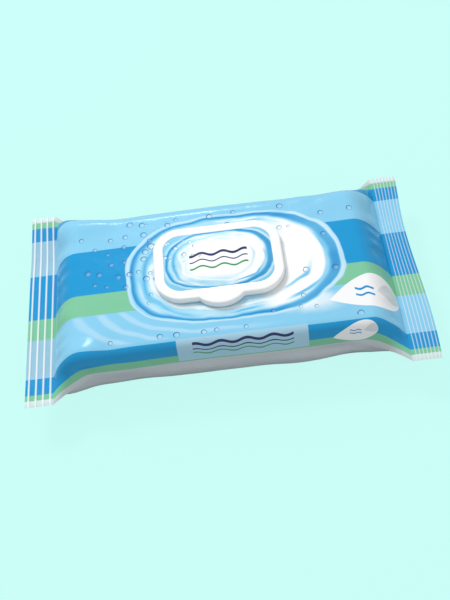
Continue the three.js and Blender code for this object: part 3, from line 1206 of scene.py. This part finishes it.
def spin_hinge():
    """A strip spun half a turn round the hinge's axis."""
    bpy.ops.object.select_all(action="DESELECT")
    bpy.ops.mesh.primitive_plane_add(size=1, location=(0, 0, 0))
    web = bpy.context.active_object
    web.name = "hinge_web"
    edit(web, "FACE")
    bpy.ops.mesh.select_all(action="SELECT")
    bpy.ops.transform.resize(value=(hinge_length, hinge_web, 1))
    done()
    web.rotation_euler = (math.radians(90), 0, 0)
    web.location = (0, hinge_axis.y, hinge_axis.z - hinge_inner - hinge_web / 2)
    settle(web)
    edit(web, "FACE")
    bpy.ops.mesh.select_all(action="SELECT")
    bpy.ops.mesh.spin(steps=hinge_steps, angle=math.pi, center=hinge_axis, axis=(1, 0, 0))
    bpy.ops.mesh.select_all(action="SELECT")
    bpy.ops.mesh.normals_make_consistent(inside=False)
    done()
    return web


hinge_strip = spin_hinge()
reach_back = max(point.co.y for point in hinge_strip.data.vertices)
print("hinge reaches back to", round(reach_back / MM, 2), "mm")

# %% [markdown]
# ## The print on the film
# The print is laid out in the flat film's own coordinates, in millimetres along the pack and
# round the tube, so the bands bend with the film where it runs into the seals.
# A painted picture would do the same, but shapes worked out by nodes stay sharp at any size.
# The motifs are plain ones: bands, a patch of rippled water, droplets and a white drop.

# %% Inks
silver = ink("C6CDD3")
seal_white = ink("D2E6E7")
seal_grey = ink("A4BFCC")
green = ink("7CC6A0")
blue = ink("0A97D3")
light = ink("86CCED")
panel = ink("A8D2E8")
water_white = ink("FBFEFF")
water_pale = ink("AFE0F4")
water_cyan = ink("7ACBEE")
water_blue = ink("1A8FD0")
outline_blue = ink("135F9E")
navy = ink("2B3263")
leaf = ink("3E9A5E")
motif_white = ink("F6F7F8")
motif_shade = ink("C3CBD2")

# Each band: where it starts, as a distance in millimetres round the film from the back crease.
bands = [
    (-69.2, silver), (3.75, green), (7.8, blue), (18.35, light), (43.9, blue), (77.5, green),
    (92.9, light), (119.6, blue), (129.9, green), (134.5, silver),
]
girth_start = -seal_length / 2 / MM
girth_whole = 2 * seal_length / MM
back_light_band = (18.35, 43.9)
front_light_band = (92.9, 119.6)
bare_limits = (3.75, 134.3)  # the film is bare under the one and over the other
print(len(bands), "bands on a girth of", round(girth_whole, 1), "mm")

# %% [markdown]
# ## Shapes made of nodes
# A shape is a number: 1 inside and 0 outside, with a soft edge of a few tenths of a millimetre.
# Two shapes are multiplied to keep what they share. The colour bands come from one colour
# ramp without blending, which is what bands of ink are.

# %% Shapes made of nodes
edge_softness = 0.15  # mm either side of a limit
print_slide = 2.4  # mm that the print lies nearer to the top along the front edge
slide_grows = (98, 116)  # mm round the film from the back crease
slide_fades = (127, 138)
slide_ends = (84, 100)  # mm along the pack from its middle


def film_place(tree):
    """The point on the flat film as a vector, and its parts along and round in millimetres."""
    film = tree.nodes.new("ShaderNodeUVMap")
    film.uv_map = "film"
    place = Output(tree, film.outputs[0])
    along, girth, _ = split(place)
    along = along / MM
    girth = girth / MM
    over_edge = ramp(girth, *slide_grows) * ramp(girth, *slide_fades, 1.0, 0.0)
    on_body = ramp(abs(along), *slide_ends, 1.0, 0.0)
    return place, along, girth + over_edge * on_body * print_slide


def below(value, limit, soft=edge_softness):
    """1 under a limit and 0 over it."""
    return ramp(value, limit - soft, limit + soft, 1.0, 0.0)


def between(value, low, high, soft=edge_softness):
    """1 between two limits and 0 outside."""
    return below(value, high, soft) * ramp(value, low - soft, low + soft)


def print_bands(girth):
    """The colours of the bands round the film."""
    node = girth.tree.nodes.new("ShaderNodeValToRGB")
    stops = node.color_ramp
    stops.interpolation = "CONSTANT"
    stops.elements.remove(stops.elements[1])
    for k, (start, colour) in enumerate(bands):
        place = (start - girth_start) / girth_whole
        stop = stops.elements[0] if k == 0 else stops.elements.new(place)
        stop.color = colour
    wire(girth.tree, node.inputs[0], (girth - girth_start) / girth_whole)
    return Output(girth.tree, node.outputs[0])


def wobble(place, value, scale, reach):
    """A value shifted by noise, at most half the reach either way."""
    return value + (noise(place, scale) - 0.5) * reach


def oval_distance(across, up, half_length, half_width, power=2.5):
    """0 in the middle of an oval and 1 on its edge."""
    far_across = abs(across / half_length) ** power
    far_up = abs(up / half_width) ** power
    return (far_across + far_up) ** (1 / power)


# %% [markdown]
# ## Rippled water
# The patch is an oval whose edge is pushed about by noise. The distance from its middle, as a
# share of the way to the edge, gives rings when a sine is taken of it, and more noise breaks
# the rings into arcs. The rim is the darkest, as water is where it curves away.

# %% Rippled water


def deepen(share, colour):
    """Goes through cyan to deep blue as the share grows, as water does where it is deeper."""
    colour = mix(calc("MINIMUM", share * 1.8, 1.0), colour, water_cyan)
    return mix(ramp(share, 0.4, 1.0), colour, water_blue)


def ring_waves(place, away, unit, colour):
    """Blue arcs and white ones between them, round the patch's middle."""
    swirl = wobble(place, away * 5.2, 22 / unit, 2.4)
    wave = calc("SINE", swirl * (2 * math.pi))
    patches = ramp(noise(place, 27 / unit, 1.0), 0.42, 0.62)
    arcs = ramp(wave, 0.45, 1.0) * patches * ramp(away, 0.35, 0.75) * 0.6
    colour = deepen(arcs, colour)
    shine = ramp(wave, -1.0, -0.55, 1.0, 0.0) * ramp(away, 0.4, 0.7) * 0.7
    return mix(shine, colour, water_white)


def water_patch(place, across, up, half_length, half_width):
    """A patch of rippled water: its colour, and the distance from its middle as a share."""
    unit = half_width / 40
    across = wobble(place, across, 30 / unit, 9 * unit)
    up = wobble(place, up, 38 / unit, 7 * unit)
    away = oval_distance(across, up, half_length, half_width)
    to_right = ramp(across, -0.1 * half_length, 0.75 * half_length)
    to_left = ramp(across, -0.95 * half_length, -0.35 * half_length, 1.0, 0.0)
    clouds = wobble(place, to_right * 0.75, 34 / unit, 1.3)
    colour = mix(ramp(clouds, -0.1, 0.6), water_pale, water_white)
    colour = ring_waves(place, away, unit, colour)
    rim_inside = 0.915 - to_right * 0.055
    rim = ramp(away - rim_inside, -0.05, 0.05) * below(away, 0.975, 0.02)
    colour = deepen(rim * ramp(clouds, 1.1, 0.2, 0.68, 0.95), colour)
    left_arc = between(away, 0.8, 0.86, 0.03) * to_left * 0.75
    colour = deepen(left_arc, colour)
    edge = between(away, 0.98, 1.04, 0.02) * 0.75
    return mix(edge, colour, water_pale), away


# %% [markdown]
# ## Droplets
# A Voronoi texture scatters points and gives each of them random numbers. One of these says
# whether the point gets a droplet and one how large it is: a circle with a dark outline, a pale
# belly and its light on one side.
# Droplets placed one by one would look no better and take far longer.

# %% Droplets


def cells(place, scale):
    """Scattered points: the distance to the nearest, two random numbers and its offset."""
    tree = place.tree
    node = tree.nodes.new("ShaderNodeTexVoronoi")
    node.voronoi_dimensions = "2D"
    node.inputs["Scale"].default_value = scale
    wire(tree, node.inputs["Vector"], place)
    dice = tree.nodes.new("ShaderNodeSeparateColor")
    wire(tree, dice.inputs[0], node.outputs["Color"])
    offset = tree.nodes.new("ShaderNodeVectorMath")
    offset.operation = "SUBTRACT"
    wire(tree, offset.inputs[0], place)
    wire(tree, offset.inputs[1], node.outputs["Position"])
    outputs = (node.outputs["Distance"], dice.outputs[0], dice.outputs[1], offset.outputs[0])
    distance, size, luck, from_point = [Output(tree, output) for output in outputs]
    return distance, size, luck, split(from_point)


def add_droplets(place, colour, scale, smallest, largest, chance, clear, up_sign=-1):
    """Round droplets with a dark outline, a pale belly and a bright spot."""
    distance, size, luck, offset = cells(place, scale)
    radius = ramp(size, 0.0, 1.0, smallest, largest)
    reach = distance / radius
    there = calc("LESS_THAN", luck, chance)
    slope = (offset[0] * 0.6 + offset[1] * (-0.8 * up_sign)) * scale / radius
    belly = below(reach, 0.9, 0.1) * there * ramp(slope, -0.9, 0.9, 0.0, clear)
    colour = mix(belly, colour, water_white)
    outline = between(reach, 0.74, 1.02, 0.1) * there * ramp(slope, -1.0, 1.0, 1.0, 0.4)
    return mix(outline, colour, outline_blue)


# %% [markdown]
# ## White drop and waves
# The drop is a straight axis with a width that grows as a square root from its round end and
# shrinks evenly to its tip. The waves are lines that follow a sine.

# %% White drop and waves


def drop_share(across, up, round_end, tip, width):
    """1 on a drop that lies between its round end and its tip."""
    axis = Vector(tip) - Vector(round_end)
    length = axis.length
    axis /= length
    right = across - round_end[0]
    above = up - round_end[1]
    on = right * axis.x + above * axis.y
    off = right * axis.y - above * axis.x
    share = calc("MINIMUM", calc("MAXIMUM", on / length, 0.0), 1.0)
    half = calc("SQRT", share) * (1.0 - share)
    room = half * (1.3 * width) - abs(off)
    return ramp(room, 0.05, 0.45)


def wave_line(across, up, middle, height, length, thickness, low, high):
    """1 on a wavy line between two places along the pack."""
    bend = calc("SINE", across * (2 * math.pi / length)) * height
    away = abs(up - (bend + middle))
    return below(away, thickness / 2, 0.12) * between(across, low, high)


def add_drop(colour, across, up, round_end, tip, width):
    """A white drop with a grey end and two blue waves."""
    colour = mix(drop_share(across, up, round_end, tip, width), colour, motif_white)
    start, end = Vector(round_end), Vector(tip)
    shade = drop_share(across, up, start, start + 0.32 * (end - start), 0.5 * width)
    colour = mix(shade * 0.6, colour, motif_shade)
    low = start.x + 0.62 * (end.x - start.x)
    high = start.x + 0.36 * (end.x - start.x)
    for k in (-0.12, 0.06):
        middle = start.y + 0.5 * (end.y - start.y) + k * width
        line = wave_line(
            across, up, middle, 0.025 * width, 0.3 * width, 0.06 * width, low, high,
        )
        colour = mix(line, colour, water_blue)
    return colour


# %% [markdown]
# ## The seals' ink
# Film that is crimped hard turns pale: the light bands go grey in the left seal and the corners of both
# seals go white.
# The white on the crests of the ridges is partly the crimp's whitening and partly a painted highlight.

# %% Ink of the seals, with a painted highlight on the crests


def fade_seals(colour, along, girth):
    """The greyer bands of the left seal and the white corners of both."""
    in_seal = ramp(abs(along), seal_inner / MM - 1, seal_inner / MM + 1)
    low, high = bare_limits
    corners = calc("MAXIMUM", below(girth, low), ramp(girth, high, high + 2 * edge_softness))
    light_bands = between(girth, *back_light_band) + between(girth, *front_light_band)
    colour = mix(in_seal * light_bands * below(along, 0) * 0.6, colour, seal_grey)
    return mix(in_seal * corners, colour, seal_white)


def ridge_lines(along, ridges, side):
    """1 on the crests of the ridges in one seal."""
    inwards = (pack_length / 2 - ridges["first"]) / MM - along * side
    turn = inwards / (ridges["pitch"] / MM)
    away = abs(turn - calc("ROUND", turn)) * (ridges["pitch"] / MM)
    reach = ridges["half_width"] / MM
    crest = ramp(away, 0.2 * reach, 0.9 * reach, 1.0, 0.0)
    return crest * between(turn, -0.5, ridges["count"] - 0.5, 0.01)


def whiten_and_highlight_ridges(colour, along):
    """Puts white on the crests, partly the crimp's whitening and partly a painted highlight, more of it
    on the wide ridges of the left seal.
    """
    for ridges, side, share in ((left_ridges, -1, 0.8), (right_ridges, 1, 0.45)):
        colour = mix(ridge_lines(along, ridges, side) * share, colour, water_white)
    return colour


# %% [markdown]
# ## Water on the film
# The patch lies over the bands on the top, a pale line round it, with a few streaks that run
# out of it at the front left and a white splash at the front right.

# %% Water on the film
# Middles and half sizes in millimetres, along the pack and from the middle of the top back.
water_middle = (9, 0.75)
water_half_size = (65, 40.5)
fringe_place = (43.5, 93.2)  # round the film, where the patch crosses other bands
streaks_place = (93.5, 118)
splash_middle = (50, -33)
splash_half_size = (24, 11)
sprinkle_middle = (-36, 12)
sprinkle_half_size = (42, 34)
sprinkle_ends = 88  # mm along the pack from its middle
# Scale of the scattering, and smallest and largest radius as shares of its distances.
small_droplets = (115, 0.13, 0.24)
large_droplets = (68, 0.13, 0.27)


def streak_share(place, along, girth, away):
    """Soft white streaks in front of the patch, on its left."""
    wave = calc("SINE", wobble(place, away * 34, 20, 9))
    streaks = ramp(wave, -0.3, 1.0) * between(girth, *streaks_place, 1.5)
    return streaks * between(away, 1.05, 1.6, 0.12) * ramp(along, 40, -10) * 0.22


def add_water(colour, place, along, girth, on_top):
    """The patch of water with its pale line, its streaks and a splash."""
    up = seal_length / 2 / MM - girth
    x, y = water_middle
    water, away = water_patch(place, along - x, up - y, *water_half_size)
    fringe = below(away, 1.016, 0.006) * between(girth, *fringe_place)
    colour = mix(fringe, colour, light)
    halo = between(away, 0.99, 1.014, 0.01) * on_top * 0.4
    colour = mix(halo, colour, water_white)
    colour = mix(streak_share(place, along, girth, away), colour, water_white)
    x, y = splash_middle
    splash_reach = oval_distance(along - x, up - y, *splash_half_size, 2)
    splash = ramp(wobble(place, splash_reach, 60, 0.9), 0.2, 1.0, 0.75, 0.0) * on_top
    colour = mix(splash, colour, water_white)
    return mix(below(away, 0.995, 0.01) * on_top, colour, water)


def sprinkle(colour, place, along, girth, on_top):
    """Small droplets on the top, most of them towards the back left, and a few larger ones."""
    up = seal_length / 2 / MM - girth
    x, y = sprinkle_middle
    near = oval_distance(along - x, up - y, *sprinkle_half_size, 2)
    chance = ramp(near, 0.5, 1.4, 0.8, 0.16) * on_top * below(abs(along), sprinkle_ends)
    colour = add_droplets(place, colour, *small_droplets, chance, 0.2)
    large_chance = ramp(near, 0.3, 0.9, 0.5, 0.0) * on_top
    return add_droplets(place, colour, *large_droplets, large_chance, 0.8)


# %% [markdown]
# ## Print the film
# The layers go on in the order of a printing press: bands, water, droplets, panels, waves and
# drops. The film's fine creases are relief for the shader alone, too small for the mesh, and
# they are stronger on the bare film of the underside.

# %% Print the film
film_roughness = 0.2
top_of_film = (14, 118)  # mm round the film
front_panel = (119.2, 134.5)
back_panel = (3.75, 18.35)
panel_ends = (-29, 46.5)  # mm along the pack
line_ends = (-20, 38)
# Each wavy line: its place round the film, its ink and its thickness.
front_lines = ((123.6, navy, 1.7), (127.2, navy, 0.9), (130.4, leaf, 0.9))
line_wave = (0.9, 15)  # height and length
# Each drop: its round end, its tip and its width.
top_drop = ((103, 97), (61, 103), 26)
front_drop = ((86, 126), (60, 131.5), 14)


def add_panels(colour, along, girth):
    """A pale panel on the front and on the back, with three wavy lines on the front one."""
    on_panel = calc("MAXIMUM", between(girth, *front_panel), between(girth, *back_panel))
    colour = mix(on_panel * between(along, *panel_ends), colour, panel)
    for line, line_ink, thickness in front_lines:
        share = wave_line(along, girth, line, *line_wave, thickness, *line_ends)
        colour = mix(share, colour, line_ink)
    return colour


def crease_film(place, girth):
    """Fine creases all over, and crumples on the bare film."""
    creases = noise(place, 60, 3.0, 0.45)
    grain = noise(place, 420, 1.0)
    bare = calc("MAXIMUM", below(girth, 3.75, 1.5), ramp(girth, 133, 137))
    crumples = noise(place, 170, 3.0, 0.6) * bare
    return bump(creases + grain * 0.05 + crumples * 0.8, 1.1 * MM, 0.55)


def print_film():
    """The glossy printed film."""
    material, tree, shader = new_finish("printed_film_finish", film_roughness)
    place, along, girth = film_place(tree)
    on_top = between(girth, *top_of_film, 2)
    colour = fade_seals(print_bands(girth), along, girth)
    colour = add_water(colour, place, along, girth, on_top)
    colour = sprinkle(colour, place, along, girth, on_top)
    colour = add_panels(colour, along, girth)
    colour = add_drop(colour, along, girth, *top_drop)
    colour = add_drop(colour, along, girth, *front_drop)
    # White on the ridges' crests: partly whitening of the crimped film, partly a painted highlight.
    colour = whiten_and_highlight_ridges(colour, along)
    wire(tree, shader.inputs["Base Color"], colour)
    wire(tree, shader.inputs["Normal"], crease_film(place, girth))
    return material


film_pouch.data.materials.clear()
film_pouch.data.materials.append(print_film())
print("the film's finish has", len(film_pouch.data.materials[0].node_tree.nodes), "nodes")

# %% [markdown]
# ## Finishes of the lid, the label and the wipes
# The lid is white moulded plastic with a satin gloss and a hardly visible unevenness, which keeps
# it from looking like a drawing. The label carries the same water as the film, at a smaller size.
# The wipes are matt and fibrous.

# %% White plastic, label and fabric
plastic_white = (0.95, 0.955, 0.955, 1)
fabric_white = (0.9, 0.91, 0.91, 1)
plastic_roughness = 0.32
label_roughness = 0.22
fabric_roughness = 0.62
label_water_right = 1  # mm from the lid's middle
label_water_size = (33.5, 22)
label_sprinkle_middle = (-22, 9)
label_sprinkle_size = (14, 11)
label_droplets = (170, 0.16, 0.3)
label_lines = ((4.5, navy, 1.9), (-0.3, navy, 0.9), (-5.2, leaf, 1.3))
label_line_wave = (1.1, 13)
label_line_ends = (-17, 18)


def mould_finish():
    """White moulded plastic."""
    material, tree, shader = new_finish("white_plastic_finish", plastic_roughness)
    shader.inputs["Base Color"].default_value = plastic_white
    uneven = noise(object_place(tree), 90)
    wire(tree, shader.inputs["Normal"], bump(uneven, 0.25 * MM, 0.4))
    return material


def print_label():
    """The glossy label with its water and three wavy lines."""
    material, tree, shader = new_finish("label_film_finish", label_roughness)
    place = object_place(tree)
    across, up, _ = split(place)
    across = across / MM
    up = (up - lid_middle) / MM
    water, away = water_patch(place, across - label_water_right, up, *label_water_size)
    colour = mix(below(away, 1.02, 0.02), light, water)
    colour = mix(ramp(away, 0.5, 0.8, 1.0, 0.0), colour, water_white)
    x, y = label_sprinkle_middle
    near = oval_distance(across - x, up - y, *label_sprinkle_size, 2)
    chance = ramp(near, 0.5, 1.1, 0.8, 0.0)
    colour = add_droplets(place, colour, *label_droplets, chance, 0.8, up_sign=1)
    for line, line_ink, thickness in label_lines:
        share = wave_line(across, up, line, *label_line_wave, thickness, *label_line_ends)
        colour = mix(share, colour, line_ink)
    wire(tree, shader.inputs["Base Color"], colour)
    return material


def weave_fabric():
    """Moist nonwoven: matt, with fine fibres."""
    material, tree, shader = new_finish("moist_fabric_finish", fabric_roughness)
    shader.inputs["Base Color"].default_value = fabric_white
    place = object_place(tree)
    fibres = noise(place, 1500, 3.0, 0.7) + noise(place, 260)
    wire(tree, shader.inputs["Normal"], bump(fibres, 0.3 * MM, 0.6))
    return material


def dress(piece, finish):
    """Gives a piece its one finish."""
    piece.data.materials.clear()
    piece.data.materials.append(finish)


white_plastic = mould_finish()
for moulding in (moulded_lid, moulded_base, hinge_strip):
    dress(moulding, white_plastic)
dress(lid_label, print_label())
dress(folded_wipes, weave_fabric())
print("materials", [material.name for material in bpy.data.materials if material.users])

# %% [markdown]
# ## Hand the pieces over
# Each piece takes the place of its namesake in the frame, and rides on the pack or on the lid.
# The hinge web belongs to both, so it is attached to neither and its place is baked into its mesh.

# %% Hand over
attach(film_pouch, "pack")
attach(folded_wipes, "pack")
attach(moulded_base, "pack")
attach(moulded_lid, "lid")
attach(lid_label, "lid")
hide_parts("film_pouch")
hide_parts("wipe_stack")
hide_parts("lid_base")
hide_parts("flip_lid")
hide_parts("lid_label")
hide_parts("living_hinge")
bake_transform(hinge_strip)
